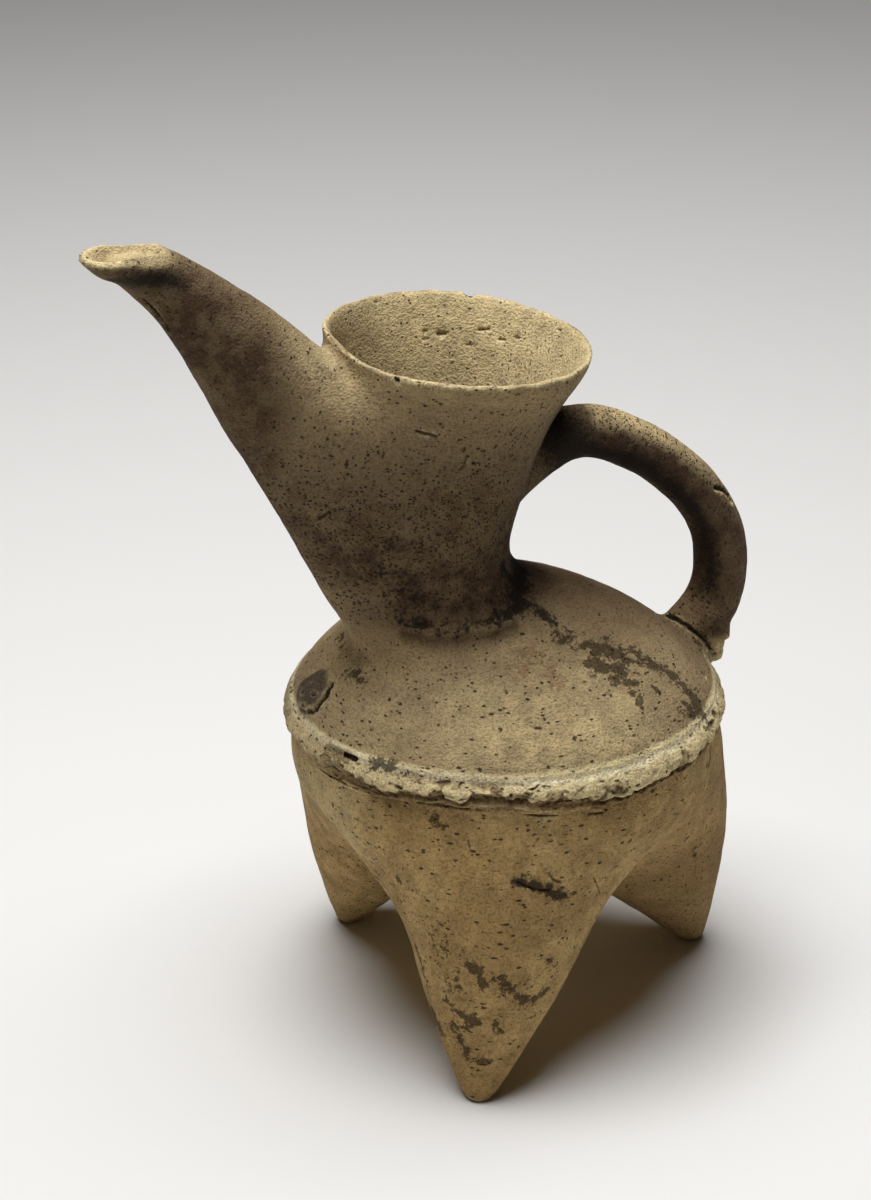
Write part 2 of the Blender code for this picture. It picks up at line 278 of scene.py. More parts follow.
marks = [
    ("soil", 2.5, 0.90, [(7, -34, 142), (11, -37, 140)]),
    ("soil", 3.2, 1.00, [(15, -37, 139), (20, -37, 137), (25, -39, 135)]),
    ("soil", 2.6, 1.00, [(13, -43, 136), (18, -44, 134), (22, -44, 133)]),
    ("soil", 2.2, 0.95, [(18, -46, 132), (21, -49, 130), (24, -49, 129)]),
    ("soil", 2.1, 1.00, [(30.5, -37.4, 133.5), (35.2, -38.7, 130.7), (39.7, -40.6, 127.0),
                         (43.1, -43.3, 123.3), (45.5, -45.9, 119.6)]),
    ("soil", 1.0, 0.80, [(31.1, -48.0, 126.7), (32.8, -49.8, 124.7)]),
    ("soil", 1.5, 0.60, [(24.6, -52.2, 126.4), (24.0, -55.7, 123.8)]),
    ("soil", 3.4, 1.00, [(48, -47, 117), (46, -50, 115.5), (43.7, -51.1, 116.6)]),
    ("soil", 1.3, 0.50, [(20.4, -64.9, 115.7), (20.1, -65.6, 115.1)]),
    ("soil", 0.8, 0.60, [(22.3, -67.5, 113.0), (22.6, -67.7, 112.7)]),
    # These four stains at the neck's right foot are partly a real dark stain and partly painted shadow where neck and
    # shoulder meet.
    ("stainAndShadow", 4.6, 1.10, [(2, -8, 157), (0, -13, 155), (-3.2, -18.1, 152.6)]),
    ("stainAndShadow", 2.6, 0.90, [(-7.6, -16.6, 163.3), (-5.0, -15.2, 159.5), (-4.0, -16.2, 155.9), (-7.4, -19.9, 153.4)]),
    ("stainAndShadow", 2.4, 0.95, [(-3, -19, 151.6), (1.2, -20.2, 149.8), (4.4, -24.9, 147.0), (6.4, -28.9, 144.8)]),
    ("stainAndShadow", 2.8, 1.05, [(-12.0, -24.0, 148.5), (-7.0, -22.8, 148.5), (-2.0, -20.5, 149.5)]),
    # along the neck's front foot: dark pits, and painted shade in the crease
    ("stainAndShadow", 3.6, 0.62, [(-39.3, -19.5, 152.3), (-31.1, -22.7, 148.6), (-21.7, -25.0, 147.8), (-12, -25, 148)]),
    ("stainAndShadow", 5.5, 0.50, [(-51.0, -15.6, 169.5), (-44.3, -18.2, 164.2), (-36.9, -20.6, 158.6)]),
    ("stainAndShadow", 5.5, 0.50, [(-36.9, -20.6, 158.6), (-27.6, -22.7, 156.0), (-16.0, -22.7, 156.1)]),
    ("stainAndShadow", 4.5, 0.34, [(-37.9, -24.7, 194.6), (-43.4, -21.2, 184.1), (-46.0, -19.5, 176.0)]),
    ("stainAndShadow", 4.5, 0.34, [(-31.0, -23.7, 179.4), (-21.0, -24.1, 177.8), (-15.0, -25.0, 188.0)]),
    # soot along the neck's front foot, also painted shade in the crease there
    ("sootAndShade", 3.9, 0.75, [(-41, -18, 147), (-34, -22, 145), (-25, -26, 145), (-16, -28, 145), (-8, -27, 146)]),
    ("soil", 2.3, 0.65, [(-55, -5, 130), (-54, -9, 130), (-54, -14, 129)]),
    ("soil", 0.8, 0.70, [(-48.5, 19.2, 132.0), (-50.7, 14.4, 131.7), (-52.6, 10.4, 130.9)]),
    ("soil", 0.6, 0.80, [(-64.3, 27.8, 113.8), (-67.2, 20.3, 113.7)]),
    ("flake", 4.8, 0.70, [(-11.3, -40.7, 137.9), (-6.3, -37.1, 140.6), (-2.9, -41.3, 138.3), (-1.7, -46.4, 135.0)]),
    ("stainAndShadow", 2.1, 1.10, [(-25.6, -71.3, 81.1), (-21.9, -72.3, 79.3), (-18.7, -72.9, 77.5),
                          (-14.7, -73.0, 75.2), (-11.2, -73.0, 72.9)]),
    ("black", 0.6, 0.80, [(-25.9, -71.3, 80.8), (-23.5, -72.1, 79.2), (-20.1, -72.8, 77.3), (-16.1, -73.0, 76.4)]),
    ("black", 0.5, 1.00, [(-15.7, -72.5, 82.2), (-14.4, -72.8, 79.7), (-11.9, -72.9, 78.4)]),
    ("soil", 0.5, 0.80, [(-11.6, -73.0, 73.8), (-6.0, -72.1, 73.2)]),
    ("soil", 1.5, 0.80, [(-46.7, -54.1, 99.3), (-45.5, -55.9, 97.7), (-44.6, -57.0, 97.4)]),
    ("crack", 0.4, 0.80, [(0.4, -70.9, 76.1), (4.0, -68.1, 67.7)]),
    ("crack", 0.3, 0.60, [(-8.0, -72.6, 64.3), (-1.5, -70.1, 64.2)]),
    ("soil", 1.6, 0.80, [(-41.1, -69.2, 54.2), (-40.1, -70.1, 52.1), (-38.5, -71.5, 49.4), (-37.5, -72.2, 47.3)]),
    ("soil", 1.6, 0.90, [(-33.8, -73.9, 48.8), (-29.9, -74.9, 44.9), (-27.1, -75.1, 40.9), (-24.8, -74.8, 37.8)]),
    ("soil", 1.3, 0.90, [(-27.1, -75.1, 40.9), (-20.9, -74.3, 38.9), (-16.6, -73.5, 41.0)]),
    ("soil", 1.4, 0.80, [(-29.9, -74.9, 44.9), (-25.8, -75.4, 46.9)]),
    ("soil", 1.4, 0.80, [(-46.7, -62.9, 37.3), (-44.5, -66.3, 35.5), (-42.0, -69.0, 33.2), (-39.2, -70.9, 32.1)]),
    ("soil", 1.4, 0.85, [(-44.4, -65.9, 28.3), (-43.4, -66.7, 23.6), (-41.2, -68.5, 18.6), (-37.2, -70.9, 17.3)]),
    ("soil", 1.2, 0.65, [(-34.4, -73.3, 33.1), (-32.9, -73.2, 28.7)]),
    ("soil", 6.0, 0.32, [(-48.0, -58.0, 62.0), (-45.0, -64.0, 50.0), (-44.0, -66.0, 30.0)]),
    ("soil", 1.0, 0.60, [(-57.4, -44.0, 74.9), (-56.6, -45.4, 73.2)]),
    ("soil", 1.6, 0.50, [(-54.9, -49.6, 75.0), (-54.3, -50.7, 74.0)]),
    ("soil", 1.1, 0.80, [(-51.1, -46.8, 50.6), (-50.3, -51.3, 43.6), (-49.8, -53.2, 38.2)]),
    ("soil", 1.4, 0.95, [(-48.9, -53.5, 31.0), (-47.9, -55.1, 26.0), (-47.0, -58.7, 23.3)]),
    ("soil", 2.9, 0.40, [(-49, -60, 63), (-46, -64, 61), (-44, -66, 59)]),
    ("soil", 2.3, 0.40, [(-16, -74, 51), (-15, -74, 48)]),
    ("soil", 0.8, 0.50, [(-49.3, 24.1, 50.0), (-46.9, 20.8, 49.2)]),
    ("soil", 1.9, 0.50, [(-42.6, 22.1, 42.2), (-41.2, 21.9, 40.4)]),
    ("crack", 0.6, 0.90, [(53.8, -45.5, 101.0), (52.8, -47.1, 95.8), (50.7, -48.7, 90.0), (50.2, -48.1, 86.3)]),
    ("crack", 0.3, 0.80, [(43.8, -54.6, 91.8), (42.1, -55.8, 90.7)]),
    ("soil", 0.8, 0.60, [(49.8, -36.8, 62.1), (47.3, -36.1, 59.4)]),
    ("soil", 2.9, 0.40, [(55, -31, 56), (57, -29, 52)]),
    ("soil", 1.1, 0.50, [(37.3, -29.1, 48.6), (39.5, -28.4, 46.9)]),
    ("crack", 1.0, 1.00, [(-117.1, -2.2, 264.7), (-114.8, -2.5, 262.2), (-112.1, -2.2, 258.3),
                          (-109.5, -2.2, 254.6)]),
    ("sootAndShade", 6.5, 0.50, [(-111, -6, 268), (-107, -7, 266)]),
    ("sootAndShade", 7.1, 0.45, [(-93, -10, 249), (-87, -11, 246)]),
    ("sootAndShade", 6.5, 0.65, [(-94, -9, 234), (-89, -9, 228), (-84, -10, 222)]),
    ("crack", 0.5, 1.00, [(-66.0, -10.5, 188.2), (-63.5, -12.9, 190.9)]),
    ("crack", 0.5, 0.90, [(-40.7, -29.2, 220.1), (-37.0, -30.5, 219.0), (-34.8, -31.1, 218.2)]),
    ("crack", 0.4, 0.90, [(-24.8, -31.0, 210.5), (-25.5, -29.7, 206.3), (-26.6, -29.3, 205.2)]),
    ("crack", 0.4, 0.90, [(-22.7, -30.3, 207.3), (-20.1, -30.2, 206.5)]),
    ("crack", 0.3, 0.80, [(-47.3, -23.5, 202.5), (-45.6, -23.5, 199.7)]),
    ("crack", 0.3, 0.80, [(-19.4, -27.4, 196.1), (-20.4, -26.9, 193.5)]),
    ("stainAndShadow", 1.7, 0.85, [(-42.4, -17.9, 151.9), (-39.9, -19.2, 150.9), (-37.3, -20.3, 150.2)]),
    ("sootAndShade", 6.5, 0.60, [(-44, -19, 168), (-34, -22, 162)]),
    ("sootAndShade", 2.9, 0.60, [(-33, 34, 228), (-30, 34, 224)]),
    ("crack", 0.8, 1.00, [(62.6, 8.3, 122.6), (62.4, 0.7, 124.7), (66.0, -5.8, 122.3), (68.5, -7.5, 120.0),
                          (70.5, -8.1, 118.0), (71.9, -7.6, 116.0), (73.5, -6.8, 113.8), (74.6, -6.4, 112.0)]),
    ("crack", 0.8, 1.00, [(74.2, -4.9, 171.7), (76.5, -4.1, 170.6), (78.3, -3.4, 169.4), (79.6, -3.1, 167.9),
                          (80.4, -3.1, 166.7), (80.8, -3.5, 165.2)]),
    # this char, where the handle meets the neck under the flare, is painted shadow on the handle's sooty root
    ("charAndShadow", 5.5, 1.15, [(17, -6, 199), (23, -7, 194), (22, -7, 188)]),
    ("charAndShadow", 3.8, 1.05, [(26, -8, 191), (40, -8, 186), (49, -7, 181)]),
    ("charAndShadow", 3.4, 0.95, [(49, -7, 181), (57, -7, 174), (65, -7, 165)]),
    ("charAndShadow", 3.6, 0.65, [(65, -7, 165), (70, -6, 157), (72, -6, 147), (73, -6, 137)]),
    ("charAndShadow", 2.6, 0.75, [(-124, -4, 272), (-116, -6, 272), (-108, -7, 271)]),
    ("charAndShadow", 5.0, 0.50, [(12, -26, 215), (14, -22, 203)]),
    ("charAndShadow", 3.5, 0.55, [(-92, -9, 240), (-84, -9, 226), (-76, -9, 214)]),
    ("crack", 0.4, 0.60, [(36.3, -1.9, 203.8), (42.5, -0.6, 201.8)]),
    ("crack", 0.3, 0.50, [(-33.5, -42.6, 129.9), (-27.6, -47.3, 129.3), (-22.6, -49.8, 129.3)]),
    ("crack", 0.3, 0.50, [(35.5, -54.1, 119.5), (27.6, -58.8, 119.3), (20.3, -62.4, 118.6)]),
    ("crack", 0.4, 0.60, [(59.5, -29.0, 117.7), (58.6, -32.4, 116.8)]),
    ("black", 0.6, 0.90, [(-18.0, -45.0, 133.8), (-18.0, -45.7, 133.4)]),
    ("black", 0.5, 0.90, [(7.4, -48.4, 133.2), (7.9, -48.5, 133.0)]),
    ("black", 0.5, 0.80, [(-42.7, -22.9, 134.6), (-42.4, -23.1, 134.6)]),
    ("black", 0.5, 0.80, [(-30.0, -33.0, 136.8), (-29.7, -33.2, 136.8)]),
    ("black", 0.5, 0.90, [(-13.5, -57.6, 125.5), (-11.8, -58.2, 125.3)]),
    ("black", 0.5, 0.80, [(-57.9, -28.8, 120.8), (-57.7, -29.1, 120.8)]),
    ("black", 0.5, 0.90, [(-60.6, -38.9, 91.3), (-60.4, -39.2, 91.2)]),
    ("black", 0.5, 0.80, [(-18.4, -70.6, 94.0), (-18.4, -70.6, 93.8)]),
    ("black", 0.5, 0.70, [(-21.0, -71.6, 86.0), (-20.6, -71.7, 85.9)]),
    ("crack", 0.4, 0.80, [(-38.7, -62.6, 93.6), (-38.5, -63.4, 91.8)]),
    # below the band: a cut line, and the crack under its worn left end
    ("crack", 0.5, 0.90, [(-50.2, -49.6, 103.8), (-44.8, -54.5, 104.0), (-39.6, -58.3, 103.7),
                          (-34.3, -61.7, 103.5), (-17.0, -68.9, 101.2), (2.8, -70.9, 98.9)]),
    ("crack", 0.5, 0.80, [(-69.0, -13.5, 102.1), (-65.7, -25.5, 101.8), (-62.9, -31.6, 102.4)]),
    ("dent", 2.2, 1.00, [(-69.3, -19.6, 111.6), (-66.0, -27.2, 112.4)]),
    ("dent", 3.6, 1.00, [(-67.8, -23.5, 106.0)]),
    ("dent", 2.8, 0.80, [(-63.5, -34.0, 106.3), (-61.0, -38.6, 106.3)]),
    ("black", 0.9, 0.90, [(-66.2, -26.0, 112.8), (-64.0, -31.0, 112.8)]),
    ("soil", 1.3, 0.80, [(-59.5, -36.5, 113.0), (-55.4, -42.0, 113.0), (-52.0, -46.0, 113.0)]),
    # the pellet: a painted shadow in a shallow cut along its raised edge, and its pits
    ("crack", 0.9, 1.00, [(-60.5, -2.8, 125.0), (-63.4, -4.8, 122.2), (-66.7, -4.1, 118.2)]),
    ("black", 0.7, 0.90, [(-68.8, 2.9, 121.9)]),
    ("black", 0.7, 0.90, [(-66.2, -1.3, 122.3)]),
    ("black", 0.5, 0.80, [(-66.4, 3.6, 124.0)]),
    ("black", 0.6, 0.90, [(-69.9, 0.2, 118.4)]),
    ("black", 1.2, 0.90, [(-67.6, -1.8, 117.0), (-66.6, -3.0, 116.6)]),
    # chips inside the mouth and nicks in its rim
    ("black", 0.6, 0.80, [(-11.2, 37.3, 225.4), (-9.8, 37.3, 225.2)]),
    ("black", 0.6, 0.70, [(-11.6, 36.5, 223.0), (-9.9, 36.5, 223.0)]),
    ("crack", 0.7, 0.90, [(-6.6, 35.8, 224.3), (-3.8, 35.8, 223.9)]),
    ("crack", 0.6, 0.80, [(6.0, 31.0, 225.3), (9.4, 29.6, 225.4)]),
    ("black", 0.6, 0.80, [(15.0, 21.8, 224.4), (15.8, 20.8, 224.4)]),
    ("crack", 0.5, 0.70, [(-28.0, 40.2, 236.9), (-26.0, 40.2, 236.7)]),
    ("crack", 0.5, 0.70, [(10.8, 25.7, 223.1), (12.6, 24.0, 223.1)]),
    ("black", 0.5, 0.70, [(24.5, 9.4, 229.9), (24.9, 8.2, 229.9)]),
    ("crack", 0.5, 0.70, [(1.8, 31.3, 220.7), (3.6, 30.4, 220.9)]),
    ("crack", 0.8, 1.00, [(4.6, 38.6, 235.4), (5.9, 37.6, 234.9)]),
    ("crack", 0.9, 1.00, [(-46.4, -27.2, 238.6), (-46.0, -27.8, 236.6)]),
]

# how deep a mark is cut in mm, and between which of its strengths
markDepth = {"soil": (-0.15, 0.3, 0.62), "black": (0.7, 0.3, 0.62), "crack": (0.9, 0.3, 0.62),
             "flake": (0.35, 0.3, 0.62), "dent": (1.1, 0.2, 1.0)}
markFade = {"soil": 1.7, "stainAndShadow": 1.2, "charAndShadow": 1.4, "sootAndShade": 1.2}  # how many half widths a mark takes to fade away


def markField(places, normals, kinds):
    # 1 in the middle of a mark, half at its edge, and nothing beyond where it fades away; a mark lies on the skin
    # that faces its own way, also where its line runs a little above or below
    field = np.zeros(len(places))
    for kind, reach, strength, stroke in marks:
        if kind not in kinds:
            continue
        fade = markFade.get(kind, 0.5)
        line = np.array(stroke, float)
        room = reach * (1 + fade) + 2
        near = np.flatnonzero(np.all((places > line.min(axis=0) - room) & (places < line.max(axis=0) + room), axis=1))
        facing = normals[near]
        home = facing[np.argmin(np.linalg.norm(places[near] - line[len(line) // 2], axis=1))]
        offset = strokeOffset(places[near], line)
        lift = (offset * facing).sum(axis=1)
        away = np.hypot(np.linalg.norm(offset - lift[:, None] * facing, axis=1), 0.35 * lift) / reach
        value = np.where(away < 1, 1 - 0.5 * away, 0.5 * np.clip(1 - (away - 1) / fade, 0, 1))
        field[near] = np.maximum(field[near], strength * value * (facing @ home > -0.2))
    return field


# the pitcher's mesh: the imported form, softened and then worked as wet and worn clay

potShape = {
    "mergeWithin": 0.02 * mm,
    "voxel": 1.0 * mm,
    "smoothing": 8,
    "innerSeed": (-2.0, 2.0, 53.5),  # on the floor inside the body
    "innerTop": 190.0,  # the unseen inside is kept coarse below this height
    "innerShare": 0.05,
    "triangles": 194000,
    "fineMarksBelow": 245.0,  # marks get finer faces up to this height
    "neckAxis": (-21.5, 2.5),
    "mouthAxis": (-14.5, 2.0),
    "pellet": (-65.5, 4.0, 121.5),
    # lumps that are one with the wall: middle, half sizes and tilt in degrees
    "fills": [
        ((-114.6, 3.5, 273.9), (11.6, 5.6, 3.7), 2.5),  # hardened earth leaves the spout's tip a shallow spoon
        ((78.3, -1.2, 115.6), (4.6, 7.2, 9.0), 25.0),  # clay smeared down from the handle's root
        ((-107.8, 5.0, 276.5), (4.2, 4.5, 1.6), 38.0),  # the last of the opening, behind the spoon
    ],
    # noises by height, grain and draw
    "swells": ((0.42, 34.0, 31), (0.24, 12.0, 32)),
    "fingerMarks": ((0.10, 4.5, 33), (0.07, 2.4, 34)),
    # clay smeared on under the neck, towards the spout
    "smearAzimuth": (142, 155, 182, 196),
    "smearRadius": (46, 52, 64, 69),
    "smearHeight": (117, 121, 133, 140),
    "smearRise": 0.5,
    "smearLumps": ((1.1, 6.0, 35), (0.4, 2.5, 36)),
    "sole": (0.8, 8.0),  # the feet stay as they are up to the first height
    # the tip's thick rounded lip
    "lipSide": (-106, -118),
    "lipHeight": (269, 275),
    "lipSwell": 1.4,
    # places pushed by hand: where, how far round, and the push
    "pushes": [
        ((-59.0, -40.0, 76.0), 18.0, (2.1, -0.9, 0.0)),  # the near leg's pinched left flank
        ((83.4, -2.8, 117.0), 8.0, (-2.2, 0.8, 0.0)),  # the handle's root, wiped into the body
        ((-128.0, -3.0, 277.5), 10.0, (0.0, -0.4, -0.7)),  # the tip's near lip, and the far one
        ((-129.0, 9.0, 279.0), 11.0, (0.0, 0.0, 1.1)),
    ],
}

band = {
    "radius": 73.0,
    "foot": 105.55,  # the plain strip's lower and upper edges
    "head": 113.05,
    "seam": 66.8,  # the azimuth from which the strip's length is counted
    "skin": (66.5, 68.5),  # radii over which the outer skin becomes the band's own
    "zone": (96, 117),  # and the heights between which it lies
    "front": (186, 342),  # azimuths with finer faces, above this height
    "fineAbove": 101.0,
    # azimuths where the strip is rubbed down, at the left, and smooth, at the right and the rear
    "rubbed": (60, 120, 190, 206),
    "calmRight": (320, 338),
    "calmRear": (60, 20),
    # the torn strip's lower edge and crest, height by azimuth
    "tornEdge": {0: 105.6, 60: 105.4, 150: 105.6, 200: 104.9, 215: 105.0, 227: 106.5, 239: 107.5, 246: 107.0,
                 261: 105.0, 272: 103.7, 285: 103.3, 300: 104.0, 312: 104.2, 330: 105.0},
    "crest": {0: 113.0, 100: 113.1, 160: 113.2, 205: 113.4, 240: 113.4, 252: 112.6, 285: 112.4, 300: 112.6,
              325: 112.9},
    "ledge": {0: 103.8, 60: 103.9, 150: 103.9, 200: 101.6, 207: 101.3, 219.5: 103.6, 231: 105.4, 246: 104.9,
              258: 103.2, 272: 101.3, 300: 102.1, 330: 103.2},
    # the face's radius from its torn edge up to its crest, so that it leans back under the light
    "face": {0.0: 72.9, 0.1: 73.9, 0.3: 74.0, 0.55: 73.3, 0.8: 72.2, 1.0: 71.0},
    # heights over which the strip's foot and head are moved, and radii over which its lip is
    "footPull": (98, 105, 106.5, 111.5),
    "headPull": (109.5, 112.4),
    "lipReach": (67, 69.5),
    # the groove that a finger left above the crest
    "grooveRadius": 69.2,
    "grooveAbove": 111.0,
    "grooveDepth": 0.15,
    # noises by height, grain and draw
    "edgeTears": ((0.7, 8.0, 3), (1.0, 3.8, 4), (0.5, 1.6, 5)),
    "runWarp": ((1.4, (3.2, 2.4, 30.0), 9), (0.5, (1.2, 1.2, 30.0), 10)),
    "levelWarp": ((1.0, (3.0, 2.2, 30.0), 11), (0.4, (1.1, 1.1, 30.0), 12)),
    # flake scars: size, draw, how much more of them lie low, below where, softness of their edge, and depth
    "flakes": [((6.4, 3.2), 40, 0.9, 0.4, 0.3, 1.2), ((2.4, 1.6), 50, 0.3, 0.45, 0.5, 0.5)],
    "flakeTilt": 1.3,
}


def startForm():
    mesh = bmesh.new()
    mesh.from_mesh(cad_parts["pitcher"].data)
    bmesh.ops.remove_doubles(mesh, verts=mesh.verts, dist=potShape["mergeWithin"])
    bmesh.ops.join_triangles(mesh, faces=mesh.faces, angle_face_threshold=0.7, angle_shape_threshold=1.3)
    data = bpy.data.meshes.new("firedClayPitcher")
    mesh.to_mesh(data)
    mesh.free()
    item = bpy.data.objects.new("firedClayPitcher", data)
    bpy.context.collection.objects.link(item)
    return item


def addFills(item):
    # the fills cross the walls, so the remesh makes one skin of all
    mesh = bmesh.new()
    mesh.from_mesh(item.data)
    for middle, halves, tilt in potShape["fills"]:
        fill = bmesh.ops.create_uvsphere(mesh, u_segments=32, v_segments=16, radius=mm)["verts"]
        bmesh.ops.scale(mesh, vec=halves, verts=fill)
        bmesh.ops.rotate(mesh, verts=fill, cent=(0, 0, 0), matrix=Matrix.Rotation(math.radians(tilt), 3, "Y"))
        bmesh.ops.translate(mesh, verts=fill, vec=[(part + axis) * mm for part, axis in zip(middle, bodyAxis)])
    mesh.to_mesh(item.data)
    mesh.free()


def findInside(data):
    # the unseen inner skin, reached over the edges from the floor inside the body
    places = readPoints(data)
    edges = readEdges(data)
    upward = readNormals(data)[:, 2] > 0.5
    away = np.linalg.norm(places - potShape["innerSeed"], axis=1)
    inside = np.zeros(len(places), bool)
    inside[np.argmin(np.where(upward, away, np.inf))] = True
    allowed = places[:, 2] < potShape["innerTop"]
    count = 0
    while inside.sum() > count:
        count = inside.sum()
        for _ in range(4):
            touched = inside[edges[:, 0]] | inside[edges[:, 1]]
            inside[edges[touched].ravel()] = True
            inside &= allowed
    return inside


def thin(item, chosen, triangles):
    # decimates the chosen points' faces until the whole has this many triangles
    group = item.vertex_groups.new(name="chosen")
    group.add(np.flatnonzero(chosen).tolist(), 1.0, "REPLACE")
    share = triangles / countTriangles(item.data)
    if share < 1:
        modified(item, "DECIMATE", ratio=share, vertex_group="chosen")
    item.vertex_groups.clear()


def refine(item, chosen):
    # splits the faces round the chosen points, so that chips and marks have crisp edges
    mesh = bmesh.new()
    mesh.from_mesh(item.data)
    mesh.verts.ensure_lookup_table()
    faces = {face for index in np.flatnonzero(chosen).tolist() for face in mesh.verts[index].link_faces}
    edges = {edge for face in faces for edge in face.edges}
    bmesh.ops.subdivide_edges(mesh, edges=list(edges), cuts=1, use_grid_fill=True)
    mesh.to_mesh(item.data)
    mesh.free()


def onBand(places, normals):
    # how fully each point lies on the outer skin about the applied band
    radius, _ = polar(places)
    low, high = band["zone"]
    outward = (places[:, 0] * normals[:, 0] + places[:, 1] * normals[:, 1]) / np.maximum(radius, 1)
    outer = (outward > -0.2) | (np.abs(normals[:, 2]) > 0.5)
    return smoothStep(*band["skin"], radius) * outer * (places[:, 2] > low) * (places[:, 2] < high)


def crispness(azimuth):
    # the strip is crumbly in front, rubbed down at the left and smooth at the right and the rear
    worn = window(band["rubbed"], azimuth)
    calm = smoothStep(*band["calmRight"], azimuth) + smoothStep(*band["calmRear"], azimuth)
    return np.clip(1 - 0.55 * worn - 0.75 * calm, 0.2, 1)


def facets(run, height, size, seed):
    # flake scars: each cell of crumbled clay has its own depth and its own tilt
    spots = np.stack([run / size[0], height / size[1]], axis=1)
    low = np.floor(spots).astype(np.int64)
    nearest = np.full(len(spots), np.inf)
    value = np.zeros(len(spots))
    for i in (-1, 0, 1):
        for j in (-1, 0, 1):
            cell = np.concatenate([low + (i, j), np.zeros((len(low), 1), np.int64)], axis=1)
            draws = [cellValue(cell, seed + count) for count in range(5)]
            offset = spots - cell[:, :2] - 0.1 - 0.8 * np.stack(draws[:2], axis=1)
            distance = np.linalg.norm(offset, axis=1)
            tilt = (draws[3] - 0.5) * offset[:, 0] + (draws[4] - 0.5) * offset[:, 1]
            value = np.where(distance < nearest, draws[2] + band["flakeTilt"] * tilt, value)
            nearest = np.minimum(nearest, distance)
    return value


def bandEdges(azimuth):
    # how far along the strip each point lies, and the strip's torn lower edge and its crest there
    run = ((azimuth - band["seam"]) % 360) * math.radians(band["radius"])
    line = np.stack([run, np.zeros(len(run)), np.zeros(len(run))], axis=1)
    crisp = crispness(azimuth)
    lower = byAzimuth(band["tornEdge"], azimuth) + addNoise(0, line, band["edgeTears"]) * crisp
    upper = byAzimuth(band["crest"], azimuth) + 0.2 * clayNoise(line, 11.0, 6)
    upper += 0.25 * clayNoise(line, 3.0, 7) * crisp
    return run, line, lower, upper


def workBand(places, normals):
    # the crumbly strip: a raised lip, a chipped face that leans back, a torn lower edge and a thin ledge below it
    radius, azimuth = polar(places)
    run, line, lower, upper = bandEdges(azimuth)
    height = places[:, 2]
    spots = np.stack([run, height, radius], axis=1)
    weight = onBand(places, normals)
    crisp = crispness(azimuth)
    moved = places.copy()
    moved[:, 2] += weight * (lower - band["foot"]) * window(band["footPull"], height)
    lip = smoothStep(*band["headPull"], height) * smoothStep(*band["lipReach"], radius)
    moved[:, 2] += weight * (upper - band["head"]) * lip
    level = moved[:, 2]

    # the face and its chips
    proud = np.clip((radius - 70.2) / 2.6, 0, 1) * smoothStep(103.9, 105.3, height)
    share = np.clip((level - lower) / (upper - lower), 0, 1)
    face = along(band["face"], share) - band["radius"]
    grit = clayNoise(spots, (1.1, 0.9, 1.1), 8)
    warpedRun = addNoise(run, spots, band["runWarp"])
    warpedLevel = addNoise(level, spots, band["levelWarp"])
    chips = 0
    for size, draw, lean, middle, edge, depth in band["flakes"]:
        scars = facets(warpedRun, warpedLevel, size, draw) + lean * (middle - share)
        chips = chips + depth * np.clip((scars - 0.5) / edge, 0, 1)
    chips *= crisp * smoothStep(1.0, 0.82, share)
    offset = proud * (face - chips + 0.14 * grit * crisp + 0.3 * clayNoise(spots, (7.0, 4.0, 30.0), 13))

    # the ledge and the groove
    above = level - byAzimuth(band["ledge"], azimuth) - 0.3
    ledge = smoothStep(1.5, 0.4, np.abs(above - 0.7 * clayNoise(line, 5.0, 14)))
    ledge *= np.clip(0.75 + 0.6 * clayNoise(line, 2.6, 16), 0, 1)
    rough = 0.12 * grit * smoothStep(99, 103, level)
    offset += (1 - proud) * (level < lower) * (0.75 * ledge * crisp + rough)
    side = weight * smoothStep(97.5, 100.5, height)
    moved[:, :2] *= (1 + offset * side / np.maximum(radius, 1))[:, None]
    groove = weight * smoothStep(1.3, 0.3, np.abs(radius - band["grooveRadius"]))
    groove *= (normals[:, 2] > 0.3) * (height > band["grooveAbove"])
    moved[:, 2] -= groove * band["grooveDepth"] * (1 + 0.7 * clayNoise(line, 6.0, 15))
    return moved


def workClay(places, normals, inside):
    # everything else that hands, fire and burial did to the surface
    radius, azimuth = polar(places)
    height = places[:, 2]
    outer = ~inside
    shift = np.zeros(len(places))
    for kind, (depth, low, high) in markDepth.items():
        shift -= depth * smoothStep(low, high, markField(places, normals, (kind,)))
    shift += addNoise(0, places, potShape["swells"])
    shift += addNoise(0, places, potShape["fingerMarks"]) * outer
    smear = window(potShape["smearAzimuth"], azimuth) * window(potShape["smearRadius"], radius)
    smear *= window(potShape["smearHeight"], height)
    shift += smear * addNoise(potShape["smearRise"], places, potShape["smearLumps"])
    moved = places + normals * (shift * smoothStep(*potShape["sole"], height))[:, None]
    for place, room, push in potShape["pushes"]:
        reach = smoothStep(room, 1.0, np.linalg.norm(places - place, axis=1))
        moved += (reach * outer)[:, None] * np.array(push)
    lip = smoothStep(*potShape["lipSide"], places[:, 0]) * smoothStep(*potShape["lipHeight"], height)
    lip *= smoothStep(0.6, 0.0, normals[:, 2])
    moved += normals * (potShape["lipSwell"] * lip)[:, None]
    return moved


def findCrests(data):
    # how sharply the surface bends: above nothing on worn edges, below it in hollows, in 1/mm
    places = readPoints(data)
    normals = readNormals(data)
    edges = readEdges(data)
    ends = edges.ravel()
    centre = np.stack([neighbourMean(places[:, axis], edges) for axis in range(3)], axis=1)
    span = np.linalg.norm(places[edges[:, 0]] - places[edges[:, 1]], axis=1) ** 2
    size = np.bincount(ends, np.repeat(span, 2), len(places)) / np.bincount(ends, None, len(places))
    bend = np.clip(-2 * ((centre - places) * normals).sum(axis=1) / size, -2, 2)
    for _ in range(2):
        bend = 0.5 * bend + 0.5 * neighbourMean(bend, edges)
    return bend


